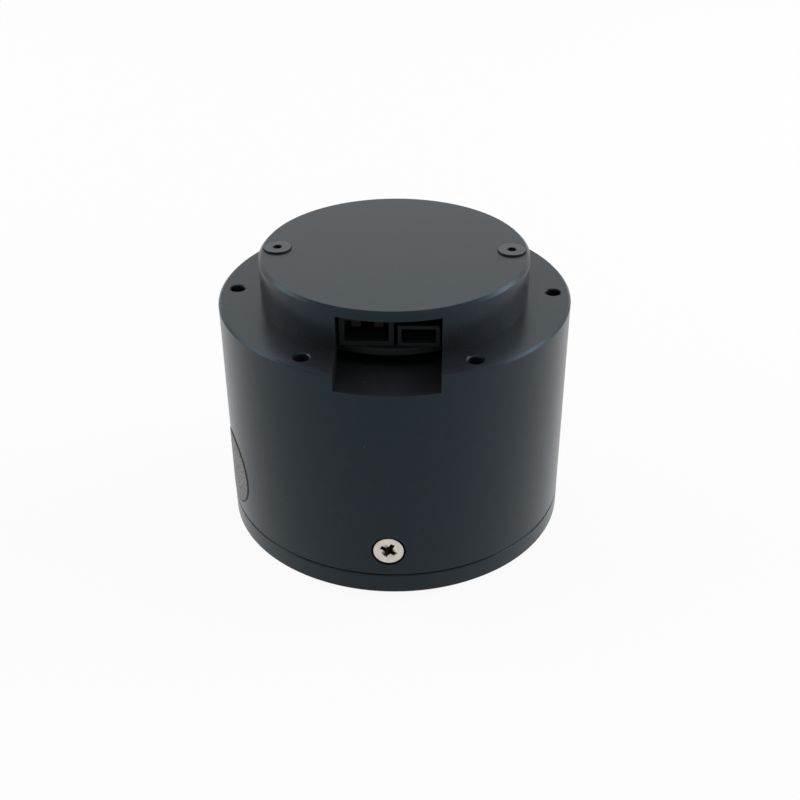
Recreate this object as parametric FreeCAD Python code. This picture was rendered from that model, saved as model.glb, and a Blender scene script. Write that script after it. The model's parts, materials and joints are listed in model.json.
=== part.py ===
"""Robot joint actuator: outrunner motor, 6:1 planetary gearbox and driver board in one round housing.

Millimetres. The axis of the joint is Z, with the output face at z = 0 and the driver side on top.
The connector notch points along -Y. Each function builds one node, and SUBPARTS at the end names them.
"""

import FreeCAD, Part
import math
import os

os.makedirs("parts", exist_ok=True)

Vector = FreeCAD.Vector
Z_AXIS = Vector(0, 0, 1)
SLACK = 1.0  # how far a cutting tool runs past the face that it cuts

# Casing: radii, and heights above the output face
BODY_R = 30.0
OUTPUT_PROUD = 0.6  # the output flange stands this far in front of the front cover
COVER_Z = OUTPUT_PROUD
SEAM_Z = COVER_Z + 3.9
FLANGE_Z = COVER_Z + 42.0
BOSS_R = 22.8
CAP_Z = COVER_Z + 48.0
CAP_T = 1.6
RIM_CHAMFER = 0.4
SEAM_GAP_H, SEAM_GAP_D = 0.35, 0.5  # shadow gap under the housing's lower edge
SEAM_CHAMFER = 0.15
FOOT_CHAMFER = 0.5
CAP_CHAMFER = 0.5
GEARBOX_R = 27.5
MOTOR_BORE_R = 27.0
BAY_R = 20.8
MOTOR_ROOF_Z = 37.2
BAY_FLOOR_Z = 38.8

# Connector notch
NOTCH_HALF_W = 8.3
NOTCH_FLOOR_Z = FLANGE_Z - 2.8
NOTCH_DEPTH_Y = 18.0  # the cut runs from here out through the wall

# Screw sizes: nominal radius, then the tap drill and clearance radii or the head
M3_R, M3_TAP_R, M3_CLEAR_R = 1.5, 1.25, 1.6
M25_R, M25_HEAD_R = 1.25, 2.3
M2_R, M2_HEAD_R, M2_HEAD_H = 1.0, 1.8, 0.9
HEAD_EDGE = 0.3  # straight rim of a countersunk head
PLAY = 0.1  # radial room round a screw in its clearance hole

# Rear bolt circle and cap screws
REAR_BOLT_R, REAR_BOLTS, REAR_BOLT_DEPTH = 27.0, 6, 4.5
HOLE_CHAMFER = 0.2
CAP_SCREW_R, CAP_SCREW_L, POST_R = 19.7, 7.5, 2.6
CAP_SCREW_PROUD = 0.3

# Side screws that hold the gearbox in the housing
SIDE_SCREW_Z, SIDE_SCREW_L = COVER_Z + 9.1, 5.4
SIDE_ANGLES = (-90, 30, 150)
SIDE_HEAD_SINK = 0.15
SIDE_HEAD_R, SIDE_MOUTH_R = 2.5, 2.88

# Front cover
COVER_BORE_R = 16.6
COVER_SCREW_R, COVER_SCREWS, COVER_SCREW_L = 24.25, 6, 7.6
SEAL_R, SEAL_Z0, SEAL_Z1 = 18.4, 1.3, 1.9

# Crossed-roller output bearing
BEARING_Z0, BEARING_Z1 = 2.0, 8.0
BEARING_BORE_R, BEARING_OD_R = 14.0, 21.0
ROLLER_PITCH_R, ROLLER_R, ROLLER_L, ROLLERS = 18.0, 1.1, 2.1, 18
RING_GAP = 0.5  # each ring stops this far from the pitch radius
GROOVE_HALF = 1.15  # half the side of the square track

# Gears
MODULE = 0.7
PRESSURE = math.radians(25)
SUN_TEETH, PLANET_TEETH, RING_TEETH = 12, 24, 60
PLANET_ANGLES = (90, 210, 330)
CENTRE_R = MODULE * (SUN_TEETH + PLANET_TEETH) / 2
FLANK_THINNING = 0.03  # taken off each flank at the pitch circle, for backlash
GEAR_Z0, GEAR_Z1 = 10.6, 17.6
RELIEF_R = 22.3  # clears the roots of the ring gear's teeth
GEARBOX_Z1 = 20.2
SHIELD_Z1 = 21.0

# Planet carrier and output flange
FLANGE_R, FLANGE_Z1 = 16.2, 2.0
OUTPUT_BOLT_R, OUTPUT_BOLTS, OUTPUT_BOLT_DEPTH = 12.0, 6, 6.0
PILOT_R, PILOT_DEPTH = 4.0, 4.0
HUB_SCREW_R, HUB_SCREWS, HUB_SCREW_L = 7.6, 6, 7.4
HUB_HEAD_R, HUB_HEAD_H, HUB_SINK = 2.25, 2.5, 0.3
CARRIER_R, CARRIER_Z1 = 17.4, 10.3
CARRIER_POST_R, CARRIER_POST_AT = 3.4, 13.9
CARRIER_ANGLES = (30, 150, 270)
PLATE_R, PLATE_Z0, PLATE_Z1 = 18.6, 17.9, 19.5
PLATE_BORE_R = 5.6
PIN_R, PIN_Z0, PIN_Z1 = 3.0, 8.8, 19.4
BUSH_R, BUSH_PLAY = 5.0, 0.03

# Motor
TUBE_R, TUBE_Z0 = 11.0, 24.2
STATOR_Z0, STATOR_Z1 = 25.8, 34.2
SLOTS = 18
BACK_R, TIP_R0, TIP_R1 = 13.0, 21.2, 22.2
TOOTH_HALF_W, TIP_HALF_DEG = 1.2, 8.0
COIL_R0, COIL_R1 = 13.5, 20.8
COIL_OVERHANG = 2.2  # past each end of the core
MAGNETS, MAGNET_W, MAGNET_T = 20, 7.0, 1.6
MAGNET_Z0, MAGNET_Z1 = 25.4, 34.6
BELL_R0, BELL_R1, BELL_Z0, BELL_Z1 = 24.6, 26.6, 21.6, 35.4
HUB_WEB_Z1 = 23.0
SHAFT_R, SHAFT_TOP = 3.0, MOTOR_ROOF_Z
SUN_BORE_R, SUN_COLLAR_R = 2.2, 3.0

# Shaft bearings, 6 x 13 x 5
RACE_R, RACE_L, INNER_RACE_R, OUTER_RACE_R = 6.5, 5.0, 4.6, 5.5
FRONT_RACE_Z, REAR_RACE_Z = TUBE_Z0, MOTOR_ROOF_Z - 5.0
SHIELD_PLATE = 0.3
CLIP_R, CLIP_T = 6.9, 0.6

# Driver board
BOARD_R, BOARD_Z0, BOARD_T = 20.3, 41.4, 1.2
BOARD_TOP = BOARD_Z0 + BOARD_T
BOARD_SCREW_R, BOARD_SCREW_ANGLES, STANDOFF_R = 16.8, (90, 215, 325), 1.8
LEAD_R, LEAD_AT, LEAD_ANGLES, LEAD_ROOM = 0.8, 15.0, (120, 140, 160), 0.3
MAGNET_HOLDER_R, ENCODER_MAGNET_R = 3.8, 3.0
ENCODER_MAGNET_Z0, ENCODER_MAGNET_Z1 = 37.7, 39.7
MOSFET_COLUMNS, MOSFET_ROWS = (1.4, 7.0, 12.6), (2.4, 9.4)
MICROCONTROLLER_AT, GATE_DRIVER_AT = (-6.0, 0.5), (-5.5, 8.5)
CAPACITORS_AT, CAPACITOR_R, CAPACITOR_H = ((6.5, 15.8), (10.6, 14.4), (-13.2, -3.2)), 1.6, 3.8

# Connectors: width across X, height over the board and wall, and where they lie along Y
POWER_X, POWER_H, POWER_WALL = (-7.9, 0.7), 5.2, 0.8
SIGNAL_X, SIGNAL_H, SIGNAL_WALL = (1.3, 7.9), 3.6, 0.6
SOCKET_MOUTH_Y, PIN_TIP_Y, PIN_BACK_Y, SOCKET_BACK_Y = -19.4, -16.6, -11.0, -9.4

# Foil label
LABEL_R, LABEL_T, LABEL_ANGLE, LABEL_Z = 6.8, 0.08, -159.6, COVER_Z + 12.2


def revolved(points):
    """Solid of revolution about Z from a closed (radius, height) outline."""
    corners = [Vector(r, 0, z) for r, z in points]
    face = Part.Face(Part.makePolygon(corners + corners[:1]))
    return face.revolve(Vector(), Z_AXIS, 360)


def tube(inner, outer, low, high):
    return revolved([(inner, low), (outer, low), (outer, high), (inner, high)])


def rod(radius, low, high):
    return Part.makeCylinder(radius, high - low, Vector(0, 0, low))


def box(x0, x1, y0, y1, z0, z1):
    return Part.makeBox(x1 - x0, y1 - y0, z1 - z0, Vector(x0, y0, z0))


def prism(points, low, high):
    """Straight prism over a closed (x, y) outline."""
    corners = [Vector(x, y, low) for x, y in points]
    return Part.Face(Part.makePolygon(corners + corners[:1])).extrude(Vector(0, 0, high - low))


def polar(radius, angle):
    return radius * math.cos(angle), radius * math.sin(angle)


def around(shape, radius, angles, height=0.0):
    """Copies of a shape moved out along X and turned about Z, one for each angle in degrees."""
    copies = []
    for angle in angles:
        copy = shape.copy()
        copy.translate(Vector(radius, 0, height))
        copy.rotate(Vector(), Z_AXIS, angle)
        copies.append(copy)
    return copies


def steps(count, first=0.0):
    return [first + 360.0 * i / count for i in range(count)]


def outward(shape):
    """Turn a shape whose head faces +Z so that it faces +X."""
    copy = shape.copy()
    copy.rotate(Vector(), Vector(0, 1, 0), 90)
    return copy


def flipped(shape):
    """Turn a shape whose head faces +Z so that it faces -Z."""
    copy = shape.copy()
    copy.rotate(Vector(), Vector(1, 0, 0), 180)
    return copy


def hex_socket(across, depth):
    return prism([polar(across / math.sqrt(3), math.radians(a)) for a in steps(6)], -depth, SLACK)


def cross_recess():
    """Cross recess of a number 1 driver: four wings round a cone, turned as it stands in the front screw."""
    arm, half, depth, turn = 1.5, 0.37, 1.3, 60
    wings = box(-arm, arm, -half, half, -depth, SLACK).fuse(box(-half, half, -arm, arm, -depth, SLACK))
    taper = revolved([(0, SLACK), (arm, SLACK), (arm, 0), (half, -depth), (0, -depth)])
    cone = revolved([(0, SLACK), (0.68, SLACK), (0.68, 0), (half, -depth), (0, -depth)])
    recess = wings.common(taper).fuse(cone)
    recess.rotate(Vector(), Z_AXIS, turn)
    return recess


def countersunk_screw(radius, head_r, length, recess):
    """Head top at z = 0 and the shank towards -Z."""
    cone_end = -HEAD_EDGE - (head_r - radius)
    body = revolved([
        (0, 0), (head_r, 0), (head_r, -HEAD_EDGE), (radius, cone_end), (radius, -length), (0, -length),
    ])
    return body.cut(recess)


def countersink(mouth_r, hole_r, through):
    """Cutting tool with its mouth at z = 0: a 90 degree cone and then a straight hole."""
    return revolved([
        (0, SLACK), (mouth_r, SLACK), (mouth_r, -HEAD_EDGE), (hole_r, -HEAD_EDGE - (mouth_r - hole_r)),
        (hole_r, -through), (0, -through),
    ])


def tapped_hole(radius, depth, chamfer):
    """Blind hole with its mouth at z = 0 and its bottom towards -Z."""
    return revolved([
        (0, SLACK), (radius + chamfer + SLACK, SLACK), (radius, -chamfer), (radius, -depth), (0, -depth),
    ])


def main_housing():
    outline = [
        (GEARBOX_R, SEAM_Z), (BODY_R - SEAM_GAP_D, SEAM_Z), (BODY_R - SEAM_GAP_D, SEAM_Z + SEAM_GAP_H),
        (BODY_R, SEAM_Z + SEAM_GAP_H), (BODY_R, FLANGE_Z - RIM_CHAMFER), (BODY_R - RIM_CHAMFER, FLANGE_Z), (BOSS_R, FLANGE_Z),
        (BOSS_R, CAP_Z), (BAY_R, CAP_Z), (BAY_R, BAY_FLOOR_Z), (RACE_R, BAY_FLOOR_Z),
        (RACE_R, MOTOR_ROOF_Z + CLIP_T), (CLIP_R, MOTOR_ROOF_Z + CLIP_T), (CLIP_R, MOTOR_ROOF_Z),
        (RACE_R, MOTOR_ROOF_Z), (RACE_R, REAR_RACE_Z), (OUTER_RACE_R, REAR_RACE_Z),
        (OUTER_RACE_R, FRONT_RACE_Z + RACE_L), (RACE_R, FRONT_RACE_Z + RACE_L),
        (RACE_R, TUBE_Z0), (TUBE_R, TUBE_Z0), (TUBE_R, STATOR_Z1), (TUBE_R + 0.8, STATOR_Z1),
        (TUBE_R + 0.8, MOTOR_ROOF_Z), (MOTOR_BORE_R, MOTOR_ROOF_Z), (MOTOR_BORE_R, SHIELD_Z1),
        (GEARBOX_R, SHIELD_Z1),
    ]
    shell = revolved(outline)
    posts = around(rod(POST_R, BAY_FLOOR_Z, CAP_Z), CAP_SCREW_R, (0, 180))
    standoffs = around(rod(STANDOFF_R, BAY_FLOOR_Z, BOARD_Z0), BOARD_SCREW_R, BOARD_SCREW_ANGLES)
    shell = shell.fuse(posts + standoffs)
    notch = box(-NOTCH_HALF_W, NOTCH_HALF_W, -BODY_R - SLACK, -NOTCH_DEPTH_Y, NOTCH_FLOOR_Z, CAP_Z + SLACK)
    cuts = [notch]
    bolt = tapped_hole(M3_TAP_R, REAR_BOLT_DEPTH, HOLE_CHAMFER)
    cuts += around(bolt, REAR_BOLT_R, steps(REAR_BOLTS), FLANGE_Z)
    cuts += around(tapped_hole(M25_R, CAP_SCREW_L, 0.0), CAP_SCREW_R, (0, 180), CAP_Z)
    cuts += around(rod(M2_R, BAY_FLOOR_Z, BOARD_Z0 + SLACK), BOARD_SCREW_R, BOARD_SCREW_ANGLES)
    cuts += around(rod(LEAD_R + LEAD_ROOM, MOTOR_ROOF_Z - SLACK, BAY_FLOOR_Z + SLACK), LEAD_AT, LEAD_ANGLES)
    mouth = outward(countersink(SIDE_MOUTH_R, M3_CLEAR_R, BODY_R - GEARBOX_R + SLACK))
    cuts += around(mouth, BODY_R - SIDE_HEAD_SINK, SIDE_ANGLES, SIDE_SCREW_Z)
    return shell.cut(cuts)


def rear_cap():
    top = CAP_Z + CAP_T
    disc = revolved([
        (0, CAP_Z), (BOSS_R, CAP_Z), (BOSS_R, top - CAP_CHAMFER), (BOSS_R - CAP_CHAMFER, top), (0, top),
    ])
    mouth = countersink(M25_HEAD_R + PLAY, M25_R + PLAY, CAP_T + SLACK + CAP_SCREW_PROUD)
    return disc.cut(around(mouth, CAP_SCREW_R, (0, 180), top + CAP_SCREW_PROUD - PLAY))


def cap_screws():
    screw = countersunk_screw(M25_R, M25_HEAD_R, CAP_SCREW_L, hex_socket(1.5, 1.0))
    return Part.makeCompound(around(screw, CAP_SCREW_R, (0, 180), CAP_Z + CAP_T + CAP_SCREW_PROUD))


def side_screws():
    screw = outward(countersunk_screw(M3_R, SIDE_HEAD_R, SIDE_SCREW_L, cross_recess()))
    return Part.makeCompound(around(screw, BODY_R - SIDE_HEAD_SINK, SIDE_ANGLES, SIDE_SCREW_Z))


def front_cover():
    ring = revolved([
        (COVER_BORE_R, COVER_Z), (BODY_R - FOOT_CHAMFER, COVER_Z), (BODY_R, COVER_Z + FOOT_CHAMFER),
        (BODY_R, SEAM_Z - SEAM_CHAMFER), (BODY_R - SEAM_CHAMFER, SEAM_Z), (BEARING_OD_R, SEAM_Z),
        (BEARING_OD_R, BEARING_Z0), (SEAL_R, BEARING_Z0), (SEAL_R, SEAL_Z0), (COVER_BORE_R, SEAL_Z0),
    ])
    mouth = flipped(countersink(M25_HEAD_R + PLAY, M25_R + PLAY, SEAM_Z))
    return ring.cut(around(mouth, COVER_SCREW_R, steps(COVER_SCREWS), COVER_Z + PLAY))


def front_cover_screws():
    screw = flipped(countersunk_screw(M25_R, M25_HEAD_R, COVER_SCREW_L, hex_socket(1.5, 0.9)))
    return Part.makeCompound(around(screw, COVER_SCREW_R, steps(COVER_SCREWS), COVER_Z + PLAY))


def output_seal():
    return tube(FLANGE_R + 0.05, SEAL_R, SEAL_Z0, SEAL_Z1)


def bearing_track():
    """Ring with the square section of the crossed-roller track, standing on its corner."""
    half = GROOVE_HALF * math.sqrt(2)
    middle = (BEARING_Z0 + BEARING_Z1) / 2
    return revolved([
        (ROLLER_PITCH_R - half, middle), (ROLLER_PITCH_R, middle - half),
        (ROLLER_PITCH_R + half, middle), (ROLLER_PITCH_R, middle + half),
    ])


def output_bearing_outer():
    return tube(ROLLER_PITCH_R + RING_GAP, BEARING_OD_R, BEARING_Z0, BEARING_Z1).cut(bearing_track())


def output_bearing_inner():
    return tube(BEARING_BORE_R, ROLLER_PITCH_R - RING_GAP, BEARING_Z0, BEARING_Z1).cut(bearing_track())


def output_bearing_rollers():
    """Rollers whose axes lean in and out in turn."""
    rollers = []
    for i, angle in enumerate(steps(ROLLERS)):
        roller = rod(ROLLER_R, -ROLLER_L / 2, ROLLER_L / 2)
        roller.rotate(Vector(), Vector(0, 1, 0), 45 if i % 2 else -45)
        rollers += around(roller, ROLLER_PITCH_R, [angle], (BEARING_Z0 + BEARING_Z1) / 2)
    return Part.makeCompound(rollers)


def involute(angle):
    return math.tan(angle) - angle


def flank_angle(radius, teeth, internal):
    """Half the angle of a tooth at a radius. An internal tooth is a space of the same involute."""
    pitch_r = MODULE * teeth / 2
    base_r = pitch_r * math.cos(PRESSURE)
    roll = involute(math.acos(min(1.0, base_r / radius))) - involute(PRESSURE)
    half = math.pi / (2 * teeth) - FLANK_THINNING / pitch_r
    return half + roll if internal else half - roll


def gear_outline(teeth, radii, internal=False):
    """Closed (x, y) outline of a gear whose first tooth is centred on +X. The radii run from root to tip."""
    points = []
    for i in range(teeth):
        middle = 2 * math.pi * i / teeth
        points += [polar(r, middle - flank_angle(r, teeth, internal)) for r in radii]
        points += [polar(r, middle + flank_angle(r, teeth, internal)) for r in reversed(radii)]
    return points


def ring_gear():
    """Gearbox case with the internal teeth in its wall."""
    pitch_r, tooth_floor = MODULE * RING_TEETH / 2, GEAR_Z0 - 0.2
    tip_r, root_r, tooth_roof = pitch_r - MODULE, pitch_r + 1.25 * MODULE, GEAR_Z1 + 0.2
    shoulder_r = tip_r - 0.5
    case = revolved([
        (BEARING_OD_R, SEAM_Z), (GEARBOX_R, SEAM_Z), (GEARBOX_R, GEARBOX_Z1), (RELIEF_R, GEARBOX_Z1),
        (RELIEF_R, tooth_roof), (shoulder_r, tooth_roof), (shoulder_r, tooth_floor), (RELIEF_R, tooth_floor),
        (RELIEF_R, tooth_floor - 0.6), (shoulder_r, tooth_floor - 0.6), (shoulder_r, BEARING_Z1),
        (BEARING_OD_R, BEARING_Z1),
    ])
    outline = gear_outline(RING_TEETH, (root_r, pitch_r, tip_r), True)
    cuts = [prism(outline, tooth_floor - 0.1, tooth_roof + 0.1)]
    cover_hole = rod(M25_R, SEAM_Z - SLACK, COVER_Z + COVER_SCREW_L + 0.6)
    cuts += around(cover_hole, COVER_SCREW_R, steps(COVER_SCREWS))
    screw_hole = outward(rod(M3_R, -SIDE_SCREW_L, SLACK))
    cuts += around(screw_hole, BODY_R - SIDE_HEAD_SINK, SIDE_ANGLES, SIDE_SCREW_Z)
    return case.cut(cuts)


def grease_shield():
    return tube(SUN_COLLAR_R + 0.8, GEARBOX_R, GEARBOX_Z1, SHIELD_Z1)


def sun_gear():
    pitch_r = MODULE * SUN_TEETH / 2
    base_r = pitch_r * math.cos(PRESSURE)
    radii = (pitch_r - 1.25 * MODULE, base_r, pitch_r, pitch_r + MODULE)
    teeth = prism(gear_outline(SUN_TEETH, radii), GEAR_Z0, GEAR_Z1)
    collar = rod(SUN_COLLAR_R, GEAR_Z1, BELL_Z0 - 0.2)
    return teeth.fuse(collar).cut(rod(SUN_BORE_R, 0, BELL_Z0))


def planet_gear(angle):
    pitch_r = MODULE * PLANET_TEETH / 2
    radii = (pitch_r - 1.25 * MODULE, pitch_r, pitch_r + MODULE)
    gear = prism(gear_outline(PLANET_TEETH, radii), GEAR_Z0, GEAR_Z1).cut(rod(BUSH_R, 0, GEARBOX_Z1))
    gear.rotate(Vector(), Z_AXIS, 180.0 / PLANET_TEETH)
    gear.translate(Vector(*polar(CENTRE_R, math.radians(angle)), 0))
    return gear


def planet_bush(angle):
    bush = tube(PIN_R + BUSH_PLAY, BUSH_R, CARRIER_Z1 + 0.1, PLATE_Z0 - 0.1)
    return around(bush, CENTRE_R, [angle])[0]


def output_flange():
    hub = revolved([
        (0, PILOT_DEPTH), (PILOT_R, PILOT_DEPTH), (PILOT_R, 0), (FLANGE_R - HOLE_CHAMFER, 0),
        (FLANGE_R, HOLE_CHAMFER), (FLANGE_R, FLANGE_Z1), (BEARING_BORE_R, FLANGE_Z1),
        (BEARING_BORE_R, BEARING_Z1), (0, BEARING_Z1),
    ])
    bolt = flipped(tapped_hole(M3_TAP_R, OUTPUT_BOLT_DEPTH, HOLE_CHAMFER))
    cuts = around(bolt, OUTPUT_BOLT_R, steps(OUTPUT_BOLTS))
    seat = rod(HUB_HEAD_R + PLAY, -SLACK, HUB_SINK + HUB_HEAD_H)
    seat = seat.fuse(rod(M25_R + PLAY, 0, BEARING_Z1 + SLACK))
    cuts += around(seat, HUB_SCREW_R, steps(HUB_SCREWS, 30))
    return hub.cut(cuts)


def hub_screws():
    """Socket-head screws that hold the output flange to the planet carrier."""
    end = HUB_SINK + HUB_HEAD_H + HUB_SCREW_L - 1.0
    screw = rod(HUB_HEAD_R, HUB_SINK, HUB_SINK + HUB_HEAD_H).fuse(rod(M25_R, HUB_SINK, end))
    socket = flipped(hex_socket(2.0, 1.2))
    socket.translate(Vector(0, 0, HUB_SINK))
    return Part.makeCompound(around(screw.cut(socket), HUB_SCREW_R, steps(HUB_SCREWS, 30)))


def planet_carrier():
    disc = rod(CARRIER_R, BEARING_Z1, CARRIER_Z1)
    disc = disc.fuse(around(rod(CARRIER_POST_R, BEARING_Z1, PLATE_Z0), CARRIER_POST_AT, CARRIER_ANGLES))
    cuts = around(rod(PIN_R, PIN_Z0, PLATE_Z0), CENTRE_R, PLANET_ANGLES)
    cuts += around(rod(M25_R, BEARING_Z1 - SLACK, CARRIER_Z1 - 0.2), HUB_SCREW_R, steps(HUB_SCREWS, 30))
    cuts += around(rod(M25_R, PLATE_Z0 - 5.0, PLATE_Z0 + SLACK), CARRIER_POST_AT, CARRIER_ANGLES)
    return disc.cut(cuts)


def carrier_plate():
    plate = tube(PLATE_BORE_R, PLATE_R, PLATE_Z0, PLATE_Z1)
    cuts = around(rod(PIN_R, PLATE_Z0 - SLACK, PLATE_Z1 + SLACK), CENTRE_R, PLANET_ANGLES)
    mouth = countersink(M25_HEAD_R + PLAY, M25_R + PLAY, PLATE_Z1 - PLATE_Z0 + SLACK)
    cuts += around(mouth, CARRIER_POST_AT, CARRIER_ANGLES, PLATE_Z1)
    return plate.cut(cuts)


def carrier_screws():
    screw = countersunk_screw(M25_R, M25_HEAD_R, 6.0, hex_socket(1.5, 0.9))
    return Part.makeCompound(around(screw, CARRIER_POST_AT, CARRIER_ANGLES, PLATE_Z1 - PLAY / 2))


def planet_pins():
    return Part.makeCompound(around(rod(PIN_R, PIN_Z0, PIN_Z1), CENTRE_R, PLANET_ANGLES))


def stator_core():
    """Laminated stack with one tooth on each step, and a flared shoe at each tooth's tip."""
    points = []
    foot = math.asin(TOOTH_HALF_W / BACK_R)
    neck = math.asin(TOOTH_HALF_W / TIP_R0)
    shoe = math.radians(TIP_HALF_DEG)
    for angle in steps(SLOTS):
        middle = math.radians(angle)
        side = [(BACK_R, foot), (TIP_R0, neck), (TIP_R0 + 0.5, shoe), (TIP_R1, shoe)]
        points += [polar(r, middle - a) for r, a in side] + [polar(TIP_R1, middle)]
        points += [polar(r, middle + a) for r, a in reversed(side)]
    return prism(points, STATOR_Z0, STATOR_Z1).cut(rod(TUBE_R, STATOR_Z0 - SLACK, STATOR_Z1 + SLACK))


def coil_outline(radius, half_w, low, high, corner):
    """Closed wire of eight corners, square to X at a radius, for one end of a coil."""
    corners = [
        (-half_w, low + corner), (-half_w + corner, low), (half_w - corner, low), (half_w, low + corner),
        (half_w, high - corner), (half_w - corner, high), (-half_w + corner, high), (-half_w, high - corner),
    ]
    points = [Vector(radius, y, z) for y, z in corners]
    return Part.makePolygon(points + points[:1])


def stator_windings():
    """One wound coil on each tooth, wider towards the tip, where there is more room."""
    low, high = STATOR_Z0 - COIL_OVERHANG, STATOR_Z1 + COIL_OVERHANG
    room = math.tan(math.radians(180.0 / SLOTS)) * 0.93
    ends = [coil_outline(r, r * room, low, high, 1.0) for r in (COIL_R0, COIL_R1)]
    coil = Part.makeLoft(ends, True, True)
    coil = coil.cut(box(0, BODY_R, -TOOTH_HALF_W, TOOTH_HALF_W, STATOR_Z0, STATOR_Z1))
    return Part.makeCompound(around(coil, 0, steps(SLOTS)))


def phase_leads():
    lead = rod(LEAD_R, STATOR_Z1 + COIL_OVERHANG, BOARD_TOP + 0.5)
    return Part.makeCompound(around(lead, LEAD_AT, LEAD_ANGLES))


def rotor_bell():
    return tube(BELL_R0, BELL_R1, BELL_Z0, BELL_Z1)


def rotor_magnets():
    """Flat magnets whose outer corners touch the bell."""
    back = math.sqrt(BELL_R0**2 - (MAGNET_W / 2) ** 2)
    magnet = box(back - MAGNET_T, back, -MAGNET_W / 2, MAGNET_W / 2, MAGNET_Z0, MAGNET_Z1)
    return Part.makeCompound(around(magnet, 0, steps(MAGNETS)))


def rotor_hub():
    rim = tube(21.5, BELL_R0, BELL_Z0, HUB_WEB_Z1)
    centre = tube(SHAFT_R, 8.0, BELL_Z0, HUB_WEB_Z1)
    collar = tube(SHAFT_R, 4.2, HUB_WEB_Z1, TUBE_Z0)
    spoke = box(7.0, 22.0, -1.8, 1.8, BELL_Z0, HUB_WEB_Z1)
    return rim.fuse([centre, collar] + around(spoke, 0, steps(6)))


def rotor_shaft():
    shoulder = BELL_Z0 - 0.2
    return revolved([
        (0, GEAR_Z0), (SUN_BORE_R, GEAR_Z0), (SUN_BORE_R, shoulder), (SHAFT_R, shoulder),
        (SHAFT_R, SHAFT_TOP), (0, SHAFT_TOP),
    ])


def bearing_outer(low):
    """Outer ring of a shaft bearing with its two shield plates."""
    high, lip = low + RACE_L, INNER_RACE_R + 0.1
    return revolved([
        (lip, low), (RACE_R, low), (RACE_R, high), (lip, high), (lip, high - SHIELD_PLATE),
        (OUTER_RACE_R, high - SHIELD_PLATE), (OUTER_RACE_R, low + SHIELD_PLATE), (lip, low + SHIELD_PLATE),
    ])


def bearing_inner(low):
    return tube(SHAFT_R, INNER_RACE_R, low, low + RACE_L)


def bearing_spacer():
    return tube(SHAFT_R, 4.2, FRONT_RACE_Z + RACE_L, REAR_RACE_Z)


def bearing_retaining_ring():
    """Open spring ring in the groove over the rear bearing."""
    ring = tube(OUTER_RACE_R + 0.2, CLIP_R, MOTOR_ROOF_Z, MOTOR_ROOF_Z + CLIP_T)
    return ring.cut(box(0, BODY_R, -1.5, 1.5, MOTOR_ROOF_Z - SLACK, BAY_FLOOR_Z))


def encoder_magnet_holder():
    cup = rod(MAGNET_HOLDER_R, SHAFT_TOP, ENCODER_MAGNET_Z1 - 0.5)
    return cup.cut(rod(ENCODER_MAGNET_R, ENCODER_MAGNET_Z0, ENCODER_MAGNET_Z1))


def encoder_magnet():
    return rod(ENCODER_MAGNET_R, ENCODER_MAGNET_Z0, ENCODER_MAGNET_Z1)


def driver_board():
    board = rod(BOARD_R, BOARD_Z0, BOARD_TOP)
    cuts = around(rod(POST_R + 0.4, BOARD_Z0 - SLACK, BOARD_TOP + SLACK), CAP_SCREW_R, (0, 180))
    cuts += around(rod(M2_R + PLAY, BOARD_Z0 - SLACK, BOARD_TOP + SLACK), BOARD_SCREW_R, BOARD_SCREW_ANGLES)
    cuts += around(rod(LEAD_R, BOARD_Z0 - SLACK, BOARD_TOP + SLACK), LEAD_AT, LEAD_ANGLES)
    return board.cut(cuts)


def board_screws():
    screw = rod(M2_HEAD_R, BOARD_TOP, BOARD_TOP + M2_HEAD_H).fuse(rod(M2_R, BAY_FLOOR_Z + 0.3, BOARD_TOP))
    screw = screw.cut(box(-1.2, 1.2, -0.25, 0.25, BOARD_TOP + 0.4, BOARD_TOP + SLACK))
    return Part.makeCompound(around(screw, BOARD_SCREW_R, BOARD_SCREW_ANGLES))


def chip(x, y, width, depth, height):
    """Flat package on top of the board, centred on x and y."""
    half_w, half_d = width / 2, depth / 2
    return box(x - half_w, x + half_w, y - half_d, y + half_d, BOARD_TOP, BOARD_TOP + height)


def mosfets():
    return Part.makeCompound([chip(x, y, 5.0, 6.0, 1.0) for y in MOSFET_ROWS for x in MOSFET_COLUMNS])


def microcontroller():
    return chip(*MICROCONTROLLER_AT, 7.0, 7.0, 1.2)


def gate_driver():
    return chip(*GATE_DRIVER_AT, 6.0, 6.0, 0.9)


def capacitors():
    cans = []
    for x, y in CAPACITORS_AT:
        can = rod(CAPACITOR_R, BOARD_TOP, BOARD_TOP + CAPACITOR_H)
        can.translate(Vector(x, y, 0))
        cans.append(can)
    return Part.makeCompound(cans)


def encoder_sensor():
    return box(-2.5, 2.5, -2.2, 2.2, BOARD_Z0 - 0.9, BOARD_Z0)


def socket(x_range, height, wall):
    """Connector body on the board, open towards -Y."""
    (x0, x1), top = x_range, BOARD_TOP + height
    body = box(x0, x1, SOCKET_MOUTH_Y, SOCKET_BACK_Y, BOARD_TOP, top)
    hollow = box(x0 + wall, x1 - wall, SOCKET_MOUTH_Y - SLACK, PIN_BACK_Y, BOARD_TOP + wall, top - wall)
    return body.cut(hollow)


def pins(x_range, count, pitch, half, height):
    """Square pins in a row across the middle of a socket."""
    first, z = sum(x_range) / 2 - pitch * (count - 1) / 2, BOARD_TOP + height / 2
    places = [first + pitch * i for i in range(count)]
    row = [box(x - half, x + half, PIN_TIP_Y, PIN_BACK_Y, z - half, z + half) for x in places]
    return Part.makeCompound(row)


def power_pins():
    return pins(POWER_X, 2, 3.6, 0.75, POWER_H)


def signal_pins():
    return pins(SIGNAL_X, 4, 1.2, 0.25, SIGNAL_H)


def foil_label():
    skin = tube(BODY_R, BODY_R + LABEL_T, LABEL_Z - LABEL_R - SLACK, LABEL_Z + LABEL_R + SLACK)
    punch = outward(rod(LABEL_R, 0, BODY_R + SLACK))
    return skin.common(around(punch, 0, [LABEL_ANGLE], LABEL_Z)[0])


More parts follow.
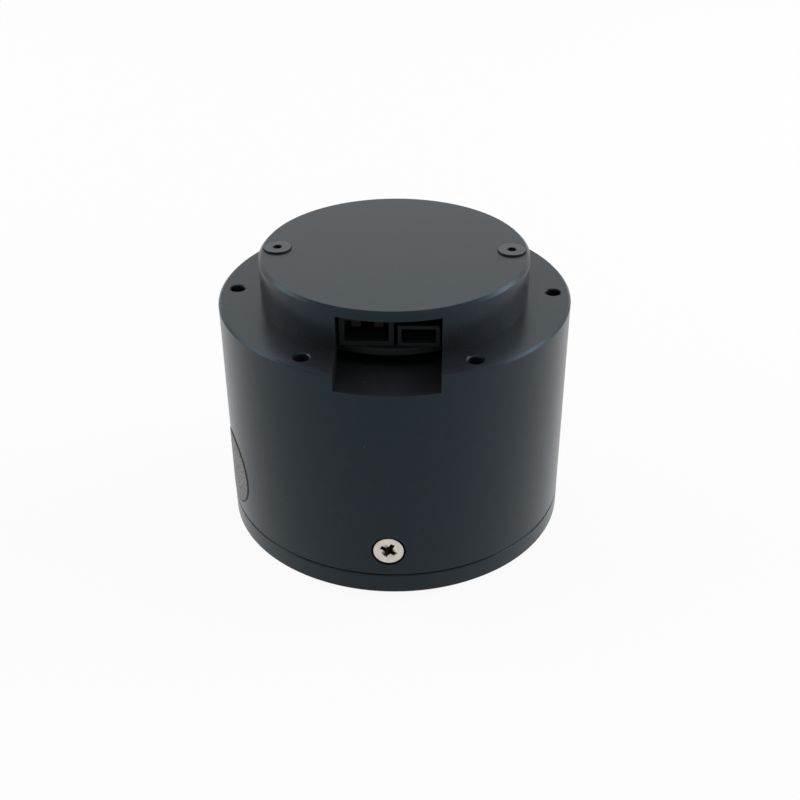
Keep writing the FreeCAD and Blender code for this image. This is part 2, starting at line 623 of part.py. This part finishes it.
SUBPARTS = {
    "main_housing": main_housing,
    "rear_cap": rear_cap,
    "cap_screws": cap_screws,
    "side_screws": side_screws,
    "front_cover": front_cover,
    "front_cover_screws": front_cover_screws,
    "output_seal": output_seal,
    "output_bearing_outer": output_bearing_outer,
    "output_bearing_inner": output_bearing_inner,
    "output_bearing_rollers": output_bearing_rollers,
    "ring_gear": ring_gear,
    "grease_shield": grease_shield,
    "sun_gear": sun_gear,
    "output_flange": output_flange,
    "hub_screws": hub_screws,
    "planet_carrier": planet_carrier,
    "carrier_plate": carrier_plate,
    "carrier_screws": carrier_screws,
    "planet_pins": planet_pins,
    "stator_core": stator_core,
    "stator_windings": stator_windings,
    "phase_leads": phase_leads,
    "rotor_bell": rotor_bell,
    "rotor_magnets": rotor_magnets,
    "rotor_hub": rotor_hub,
    "rotor_shaft": rotor_shaft,
    "front_bearing_outer": lambda: bearing_outer(FRONT_RACE_Z),
    "front_bearing_inner": lambda: bearing_inner(FRONT_RACE_Z),
    "rear_bearing_outer": lambda: bearing_outer(REAR_RACE_Z),
    "rear_bearing_inner": lambda: bearing_inner(REAR_RACE_Z),
    "bearing_spacer": bearing_spacer,
    "bearing_retaining_ring": bearing_retaining_ring,
    "encoder_magnet_holder": encoder_magnet_holder,
    "encoder_magnet": encoder_magnet,
    "driver_board": driver_board,
    "board_screws": board_screws,
    "mosfets": mosfets,
    "microcontroller": microcontroller,
    "gate_driver": gate_driver,
    "capacitors": capacitors,
    "encoder_sensor": encoder_sensor,
    "power_socket": lambda: socket(POWER_X, POWER_H, POWER_WALL),
    "power_pins": power_pins,
    "signal_socket": lambda: socket(SIGNAL_X, SIGNAL_H, SIGNAL_WALL),
    "signal_pins": signal_pins,
    "foil_label": foil_label,
}
for number, place in enumerate(PLANET_ANGLES, 1):
    SUBPARTS[f"planet_gear_{number}"] = lambda angle=place: planet_gear(angle)
    SUBPARTS[f"planet_bush_{number}"] = lambda angle=place: planet_bush(angle)

for node, build in SUBPARTS.items():
    build().exportStep(f"parts/{node}.step")
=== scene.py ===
"""Looks of the robot joint actuator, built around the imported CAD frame. Metres, +Z up, notch towards -Y."""

import json
import math

import bpy
from mathutils import Matrix, Vector


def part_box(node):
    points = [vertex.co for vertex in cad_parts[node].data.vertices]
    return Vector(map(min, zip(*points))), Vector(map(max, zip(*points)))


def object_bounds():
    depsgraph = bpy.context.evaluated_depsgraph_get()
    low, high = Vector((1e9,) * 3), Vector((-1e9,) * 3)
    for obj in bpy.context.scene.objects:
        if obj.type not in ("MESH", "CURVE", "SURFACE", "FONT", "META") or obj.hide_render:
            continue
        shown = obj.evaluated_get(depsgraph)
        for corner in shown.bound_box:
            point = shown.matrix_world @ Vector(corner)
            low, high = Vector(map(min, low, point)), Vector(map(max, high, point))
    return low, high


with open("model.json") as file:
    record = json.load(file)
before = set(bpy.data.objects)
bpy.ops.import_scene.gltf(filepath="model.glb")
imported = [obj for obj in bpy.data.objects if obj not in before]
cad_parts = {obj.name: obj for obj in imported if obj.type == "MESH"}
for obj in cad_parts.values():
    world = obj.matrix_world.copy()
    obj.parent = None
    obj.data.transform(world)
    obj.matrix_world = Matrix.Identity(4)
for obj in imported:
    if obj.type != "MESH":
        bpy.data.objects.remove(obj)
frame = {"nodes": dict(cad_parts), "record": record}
cad_low, cad_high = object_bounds()

MM = 0.001
BODY_R = (cad_high.x - cad_low.x) / 2

# Camera: the point it looks at, the direction it stands in and its roll in degrees, and its lens in millimetres
CAMERA_AIM = Vector((0.8, 0.0, 20.4)) * MM
CAMERA_AZIMUTH = 2.39
CAMERA_ELEVATION = 32.05
CAMERA_ROLL = -0.36
CAMERA_DISTANCE = 212.5 * MM
CAMERA_LENS = 52.68

# Directions of the side screws, in degrees about Z
SIDE_SCREWS_AT = (-90, 30, 150)

# Strength of the world's light on the object
WORLD_LIGHT = 0.25

# Area lamps: place, width, height, power in watts, and whether gloss mirrors them. Each side has one panel in two
# parts, of which gloss mirrors the upper part
LAMPS = {
    "key": ((0.0, 0.35, 0.5), 0.5, 0.5, 0.8, True),
    "left": ((-0.6, 0.12, 0.09), 0.6, 0.48, 3.0, False),
    "left_top": ((-0.6, 0.12, 0.4), 0.6, 0.12, 1.2, True),
    "right": ((0.6, 0.12, 0.09), 0.6, 0.48, 4.3, False),
    "right_top": ((0.6, 0.12, 0.4), 0.6, 0.12, 1.74, True),
}
LAMP_AIM = Vector((0.0, 0.0, 0.02))

# Floor: half its side, how far it lies under the object, and the share of plain white in what the camera sees of it
FLOOR_REACH = 1.2
FLOOR_GAP = 0.01 * MM
FLOOR_WHITE = 0.93

# Wear on edges: how much the noise shifts it, and how even the surface is where it is full and where it starts
WEAR_PATCHES = 0.1
WORN_TO, WORN_FROM = 0.85, 1.02

# Dust: specks per metre, and their radius as a share of the space between them
DUST = (0.07, 0.075, 0.08)
DUST_SCALE = 260.0
DUST_CORE, DUST_EDGE = 0.018, 0.03

# Painted shade, dark brown, in the side screws' drive recesses, and brown dirt smudged around them, in one colour.
# Depths are under a head's face, which is sunk in the body
SMUDGE_AND_RECESS_SHADE = (0.02, 0.014, 0.009)
HEAD_SUNK = 0.15 * MM
RECESS_STARTS, RECESS_FULL = 0.02 * MM, 0.25 * MM
SHADE_AND_SMUDGE_FADES, SHADE_AND_SMUDGE_ENDS = 2.9 * MM, 3.0 * MM

# Smudge around a side screw's axis: its radius, how far noise shifts its edge, and that noise's scale
SMUDGE_CORE, SMUDGE_EDGE = 1.7 * MM, 2.6 * MM
SMUDGE_RAGGED = 2.6 * MM
SMUDGE_SCALE = 1800.0

# Foil label: its painted glints, bright cells standing in for crinkled facets catching the light, and their size as
# a share of the space between them, and its dark border
CRINKLE_GLINT = (0.29, 0.30, 0.285)
CRINKLE_GLINT_SCALE = 2600.0
CRINKLE_GLINT_CORE, CRINKLE_GLINT_EDGE = 0.1, 0.7
BORDER = (0.02, 0.025, 0.03)
BORDER_WIDTH = 0.4 * MM
BORDER_SOFT = 0.1 * MM


def new_nodes(owner):
    """A cleared node tree and a function that adds a node to it."""
    owner.use_nodes = True
    tree = owner.node_tree
    tree.nodes.clear()

    def add(kind, **values):
        node = tree.nodes.new(kind)
        for key, value in values.items():
            if hasattr(node, key):
                setattr(node, key, value)
            else:
                node.inputs[key].default_value = value
        return node

    return tree, add


def background_share(tree, add, share=1.0):
    """The share where a ray shows the background, to the camera or through gloss and glass, and 0 elsewhere."""
    path = add("ShaderNodeLightPath")
    shown = path.outputs["Is Camera Ray"]
    for kind in ("Is Glossy Ray", "Is Transmission Ray"):
        either = add("ShaderNodeMath", operation="MAXIMUM")
        tree.links.new(shown, either.inputs[0])
        tree.links.new(path.outputs[kind], either.inputs[1])
        shown = either.outputs[0]
    scaled = add("ShaderNodeMath", operation="MULTIPLY")
    scaled.inputs[1].default_value = share
    tree.links.new(shown, scaled.inputs[0])
    return scaled.outputs[0]


def make_world():
    world = bpy.data.worlds.new("studio")
    bpy.context.scene.world = world
    tree, add = new_nodes(world)
    light = add("ShaderNodeBackground", Color=(1, 1, 1, 1), Strength=WORLD_LIGHT)
    white = add("ShaderNodeBackground", Color=(1, 1, 1, 1), Strength=1.0)
    mix = add("ShaderNodeMixShader")
    out = add("ShaderNodeOutputWorld")
    tree.links.new(background_share(tree, add), mix.inputs[0])
    tree.links.new(light.outputs[0], mix.inputs[1])
    tree.links.new(white.outputs[0], mix.inputs[2])
    tree.links.new(mix.outputs[0], out.inputs[0])


def make_camera():
    azimuth, elevation = math.radians(CAMERA_AZIMUTH), math.radians(CAMERA_ELEVATION)
    flat = math.cos(elevation)
    back = Vector((math.sin(azimuth) * flat, -math.cos(azimuth) * flat, math.sin(elevation)))
    data = bpy.data.cameras.new("camera")
    data.lens = CAMERA_LENS
    data.sensor_width = 36.0
    data.clip_start, data.clip_end = 0.01, 10.0
    camera = bpy.data.objects.new("camera", data)
    bpy.context.scene.collection.objects.link(camera)
    turn = (-back).to_track_quat("-Z", "Y").to_matrix().to_4x4()
    roll = Matrix.Rotation(math.radians(CAMERA_ROLL), 4, "Z")
    camera.matrix_world = Matrix.Translation(CAMERA_AIM + back * CAMERA_DISTANCE) @ turn @ roll
    bpy.context.scene.camera = camera


def make_lamp(name, place, width, height, power, mirrored):
    """Area lamp that faces the object."""
    data = bpy.data.lights.new(name, "AREA")
    data.shape = "RECTANGLE"
    data.size, data.size_y = width, height
    data.energy = power
    lamp = bpy.data.objects.new(name, data)
    bpy.context.scene.collection.objects.link(lamp)
    lamp.location = place
    lamp.rotation_euler = (LAMP_AIM - Vector(place)).to_track_quat("-Z", "Y").to_euler()
    lamp.visible_glossy = mirrored


def make_floor():
    """Pale floor, white to the camera apart from the object's shadow."""
    mesh = bpy.data.meshes.new("floor")
    z = cad_low.z - FLOOR_GAP
    corners = [(x * FLOOR_REACH, y * FLOOR_REACH, z) for x, y in ((-1, -1), (1, -1), (1, 1), (-1, 1))]
    mesh.from_pydata(corners, [], [(0, 1, 2, 3)])
    floor = bpy.data.objects.new("floor", mesh)
    bpy.context.scene.collection.objects.link(floor)
    paint = bpy.data.materials.new("floor")
    tree, add = new_nodes(paint)
    matt = add("ShaderNodeBsdfDiffuse", Color=(0.8, 0.8, 0.8, 1))
    lit = add("ShaderNodeEmission", Color=(1, 1, 1, 1), Strength=1.0)
    mix = add("ShaderNodeMixShader")
    out = add("ShaderNodeOutputMaterial")
    tree.links.new(background_share(tree, add, FLOOR_WHITE), mix.inputs[0])
    tree.links.new(matt.outputs[0], mix.inputs[1])
    tree.links.new(lit.outputs[0], mix.inputs[2])
    tree.links.new(mix.outputs[0], out.inputs[0])
    mesh.materials.append(paint)


def surface(name, colour, roughness, metallic=0.0, specular=0.5, spread=0.1, grain=400.0, bump=0.02,
            fine=4000.0, edge=0.0, worn=None, marks=None, pitch=0.2, depth=0.1, tone=None, tint=(1, 1, 1)):
    """Principled material whose colour and roughness wander a little, with fine relief.

    grain and fine are noise scales per metre, and spread is the share by which colour and roughness vary.
    edge rounds sharp edges in the shading, in millimetres, and worn is the colour that handling gives those edges.
    marks adds ridges of that pitch and depth, in millimetres: "turned" for rings about Z, "layers" for sheets
    across Z. tone may recolour the result, under the wear.
    """
    paint = bpy.data.materials.new(name)
    tree, add = new_nodes(paint)
    link = tree.links.new
    place = add("ShaderNodeTexCoord").outputs["Object"]
    noise = add("ShaderNodeTexNoise", Scale=grain, Detail=4.0, Roughness=0.55)
    link(place, noise.inputs["Vector"])
    mix = add("ShaderNodeMix", data_type="RGBA")
    mix.inputs["A"].default_value = (*[c * (1 - spread) for c in colour], 1)
    mix.inputs["B"].default_value = (*[min(1, c * (1 + spread)) for c in colour], 1)
    link(noise.outputs["Fac"], mix.inputs["Factor"])
    result = mix.outputs["Result"]
    if tone:
        result = tone(tree, add, place, result)
    rough = add("ShaderNodeMapRange")
    rough.inputs["To Min"].default_value = roughness * (1 - spread)
    rough.inputs["To Max"].default_value = min(1, roughness * (1 + spread))
    link(noise.outputs["Fac"], rough.inputs["Value"])
    blast = add("ShaderNodeTexNoise", Scale=fine, Detail=2.0, Roughness=0.5)
    link(place, blast.inputs["Vector"])
    relief = add("ShaderNodeBump", Strength=bump, Distance=0.1 * MM)
    link(blast.outputs["Fac"], relief.inputs["Height"])
    if edge:
        rounded = add("ShaderNodeBevel", samples=4, Radius=edge * MM)
        link(rounded.outputs["Normal"], relief.inputs["Normal"])
        if worn:
            # 1 on an even surface and less within an edge's rounding, made patchy by the noise
            even = add("ShaderNodeVectorMath", operation="DOT_PRODUCT")
            link(rounded.outputs["Normal"], even.inputs[0])
            link(add("ShaderNodeNewGeometry").outputs["Normal"], even.inputs[1])
            patchy = add("ShaderNodeMath", operation="MULTIPLY_ADD")
            patchy.inputs[1].default_value = WEAR_PATCHES
            link(noise.outputs["Fac"], patchy.inputs[0])
            link(even.outputs["Value"], patchy.inputs[2])
            result = blend(tree, add, patchy.outputs[0], WORN_TO, WORN_FROM, worn, result)
    normal = relief.outputs["Normal"]
    if marks:
        wave = add("ShaderNodeTexWave", wave_type="RINGS" if marks == "turned" else "BANDS")
        wave.rings_direction = wave.bands_direction = "Z"
        # One ridge of a wave texture is pi / 10 long at a scale of 1
        wave.inputs["Scale"].default_value = math.pi / 10 / (pitch * MM)
        link(place, wave.inputs["Vector"])
        ridges = add("ShaderNodeBump", Strength=1.0, Distance=depth * MM)
        link(wave.outputs["Fac"], ridges.inputs["Height"])
        link(normal, ridges.inputs["Normal"])
        normal = ridges.outputs["Normal"]
    shader = add("ShaderNodeBsdfPrincipled", Metallic=metallic)
    shader.inputs["Specular IOR Level"].default_value = specular
    shader.inputs["Specular Tint"].default_value = (*tint, 1)
    link(result, shader.inputs["Base Color"])
    link(rough.outputs["Result"], shader.inputs["Roughness"])
    link(normal, shader.inputs["Normal"])
    out = add("ShaderNodeOutputMaterial")
    link(shader.outputs[0], out.inputs[0])
    return paint


def blend(tree, add, value, low, high, inner, outer):
    """inner where the value is under low, outer over high, and a smooth change between."""
    share = add("ShaderNodeMapRange", interpolation_type="SMOOTHSTEP")
    share.inputs["From Min"].default_value = low
    share.inputs["From Max"].default_value = high
    tree.links.new(value, share.inputs["Value"])
    mix = add("ShaderNodeMix", data_type="RGBA")
    for socket, source in (("A", inner), ("B", outer)):
        if isinstance(source, tuple):
            mix.inputs[socket].default_value = (*source, 1)
        else:
            tree.links.new(source, mix.inputs[socket])
    tree.links.new(share.outputs["Result"], mix.inputs["Factor"])
    return mix.outputs["Result"]


def line_distance(tree, add, place, point, direction):
    """Distance of a place from the line through a point along a unit direction."""
    offset = add("ShaderNodeVectorMath", operation="SUBTRACT")
    offset.inputs[1].default_value = point
    tree.links.new(place, offset.inputs[0])
    cross = add("ShaderNodeVectorMath", operation="CROSS_PRODUCT")
    cross.inputs[1].default_value = direction
    tree.links.new(offset.outputs[0], cross.inputs[0])
    length = add("ShaderNodeVectorMath", operation="LENGTH")
    tree.links.new(cross.outputs[0], length.inputs[0])
    return length.outputs["Value"]


def dusty(tree, add, place, colour):
    """Sparse pale specks, as a black anodised part gathers on a bench."""
    cells = add("ShaderNodeTexVoronoi", Scale=DUST_SCALE)
    tree.links.new(place, cells.inputs["Vector"])
    return blend(tree, add, cells.outputs["Distance"], DUST_CORE, DUST_EDGE, DUST, colour)


def recess_shade_and_dirt(tree, add, place, colour):
    """Painted shade in a side screw's drive recess, dark brown just inside the head's face, and brown dirt smudged
    around it.
    """
    low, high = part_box("side_screws")
    level = (low[2] + high[2]) / 2
    nearest = None
    for degrees in SIDE_SCREWS_AT:
        angle = math.radians(degrees)
        away = line_distance(tree, add, place, (0, 0, level), (math.cos(angle), math.sin(angle), 0))
        if nearest:
            closer = add("ShaderNodeMath", operation="MINIMUM")
            tree.links.new(nearest, closer.inputs[0])
            tree.links.new(away, closer.inputs[1])
            away = closer.outputs[0]
        nearest = away
    noise = add("ShaderNodeTexNoise", Scale=SMUDGE_SCALE, Detail=2.0)
    tree.links.new(place, noise.inputs["Vector"])
    ragged = add("ShaderNodeMath", operation="MULTIPLY_ADD")
    ragged.inputs[1].default_value = SMUDGE_RAGGED
    tree.links.new(noise.outputs["Fac"], ragged.inputs[0])
    tree.links.new(nearest, ragged.inputs[2])
    smudged = blend(tree, add, ragged.outputs[0], SMUDGE_CORE, SMUDGE_EDGE, SMUDGE_AND_RECESS_SHADE, colour)
    reach = line_distance(tree, add, place, (0, 0, 0), (0, 0, 1))
    face = BODY_R - HEAD_SUNK
    # Painted shade: the drive recess, from just under the head's face inwards, takes the dark brown
    shaded_and_smudged = blend(tree, add, reach, face - RECESS_FULL, face - RECESS_STARTS, SMUDGE_AND_RECESS_SHADE, smudged)
    return blend(tree, add, reach, face - SHADE_AND_SMUDGE_ENDS, face - SHADE_AND_SMUDGE_FADES, colour, shaded_and_smudged)


def foil_glints_and_border(tree, add, place, colour):
    """Silver with painted glints of crinkled facets, and a thin dark border."""
    low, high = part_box("foil_label")
    middle = (Vector(low) + Vector(high)) / 2
    away = Vector((middle.x, middle.y, 0)).normalized()
    radius = (high[2] - low[2]) / 2
    cells = add("ShaderNodeTexVoronoi", Scale=CRINKLE_GLINT_SCALE)
    tree.links.new(place, cells.inputs["Vector"])
    # Painted glints: bright cells where crinkled facets would catch the light
    glinted = blend(tree, add, cells.outputs["Distance"], CRINKLE_GLINT_CORE, CRINKLE_GLINT_EDGE, CRINKLE_GLINT, colour)
    reach = line_distance(tree, add, place, (0, 0, middle.z), tuple(away))
    inside = radius - BORDER_WIDTH
    return blend(tree, add, reach, inside, inside + BORDER_SOFT, glinted, BORDER)


# Values of surface() for each material slot of the record
MATERIALS = {
    "black_anodised": dict(colour=(0.0175, 0.0198, 0.0235), roughness=0.26, specular=0.22, edge=0.07,
                           worn=(0.03, 0.035, 0.04), bump=0.12, fine=9000.0, spread=0.12, tone=dusty,
                           tint=(0.48, 0.82, 1.0)),
    "output_alloy": dict(colour=(0.5, 0.505, 0.51), roughness=0.3, metallic=1.0, edge=0.1, marks="turned",
                         pitch=0.4, depth=0.02),
    "black_steel": dict(colour=(0.016, 0.022, 0.028), roughness=0.34, specular=0.4, edge=0.12, bump=0.05,
                        tint=(0.8, 0.92, 1.0)),
    # Side screws: painted shade in their drive recesses, and dirt smudged around them
    "nickel_screw": dict(colour=(0.57, 0.535, 0.48), roughness=0.36, metallic=1.0, edge=0.12, spread=0.25,
                         grain=1500.0, bump=0.1, tone=recess_shade_and_dirt),
    "seal_rubber": dict(colour=(0.02, 0.02, 0.02), roughness=0.7, specular=0.3, bump=0.1),
    "bearing_steel": dict(colour=(0.66, 0.67, 0.68), roughness=0.18, metallic=1.0, marks="turned",
                          pitch=0.15, depth=0.001),
    "gear_steel": dict(colour=(0.42, 0.43, 0.45), roughness=0.3, metallic=1.0, bump=0.05),
    "shield_plastic": dict(colour=(0.05, 0.05, 0.05), roughness=0.6, bump=0.15),
    "stator_steel": dict(colour=(0.25, 0.26, 0.27), roughness=0.4, metallic=1.0, marks="layers",
                         pitch=0.35, depth=0.04),
    "copper": dict(colour=(0.72, 0.34, 0.16), roughness=0.28, metallic=1.0, marks="turned", pitch=0.5, depth=0.1),
    "lead_insulation": dict(colour=(0.55, 0.42, 0.12), roughness=0.5, bump=0.05),
    "magnet": dict(colour=(0.6, 0.6, 0.62), roughness=0.2, metallic=1.0),
    # Painted shade of the notch: the board is darker than its own colour
    "circuit_board": dict(colour=(0.009, 0.014, 0.013), roughness=0.45, specular=0.3, grain=900.0, spread=0.3),
    "chip_black": dict(colour=(0.015, 0.015, 0.016), roughness=0.5, bump=0.1),
    "capacitor_can": dict(colour=(0.6, 0.6, 0.6), roughness=0.3, metallic=1.0),
    # Painted shade of the notch: the sockets are darker than their black plastic
    "socket_black": dict(colour=(0.009, 0.011, 0.012), roughness=0.6, specular=0.2, bump=0.05),
    # Painted shade of the notch: metal pins darkened almost to black
    "contact_pin": dict(colour=(0.022, 0.021, 0.019), roughness=0.4, metallic=1.0, bump=0.05),
    "foil": dict(colour=(0.09, 0.095, 0.09), roughness=0.5, metallic=1.0, spread=0.3, grain=900.0, bump=0.25,
                 fine=2500.0, tone=foil_glints_and_border),
    "bronze": dict(colour=(0.6, 0.42, 0.22), roughness=0.4, metallic=1.0, bump=0.15),
}


def paint_frame():
    """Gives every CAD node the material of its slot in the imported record."""
    made = {slot: surface(slot, **values) for slot, values in MATERIALS.items()}
    for part in frame["record"]["subparts"]:
        node = frame["nodes"][part["node"]]
        node.data.materials.clear()
        node.data.materials.append(made[part["material_slot"]])


make_world()
make_camera()
make_floor()
for lamp_name, lamp_values in LAMPS.items():
    make_lamp(lamp_name, *lamp_values)
paint_frame()

bpy.context.scene.view_settings.view_transform = "Standard"
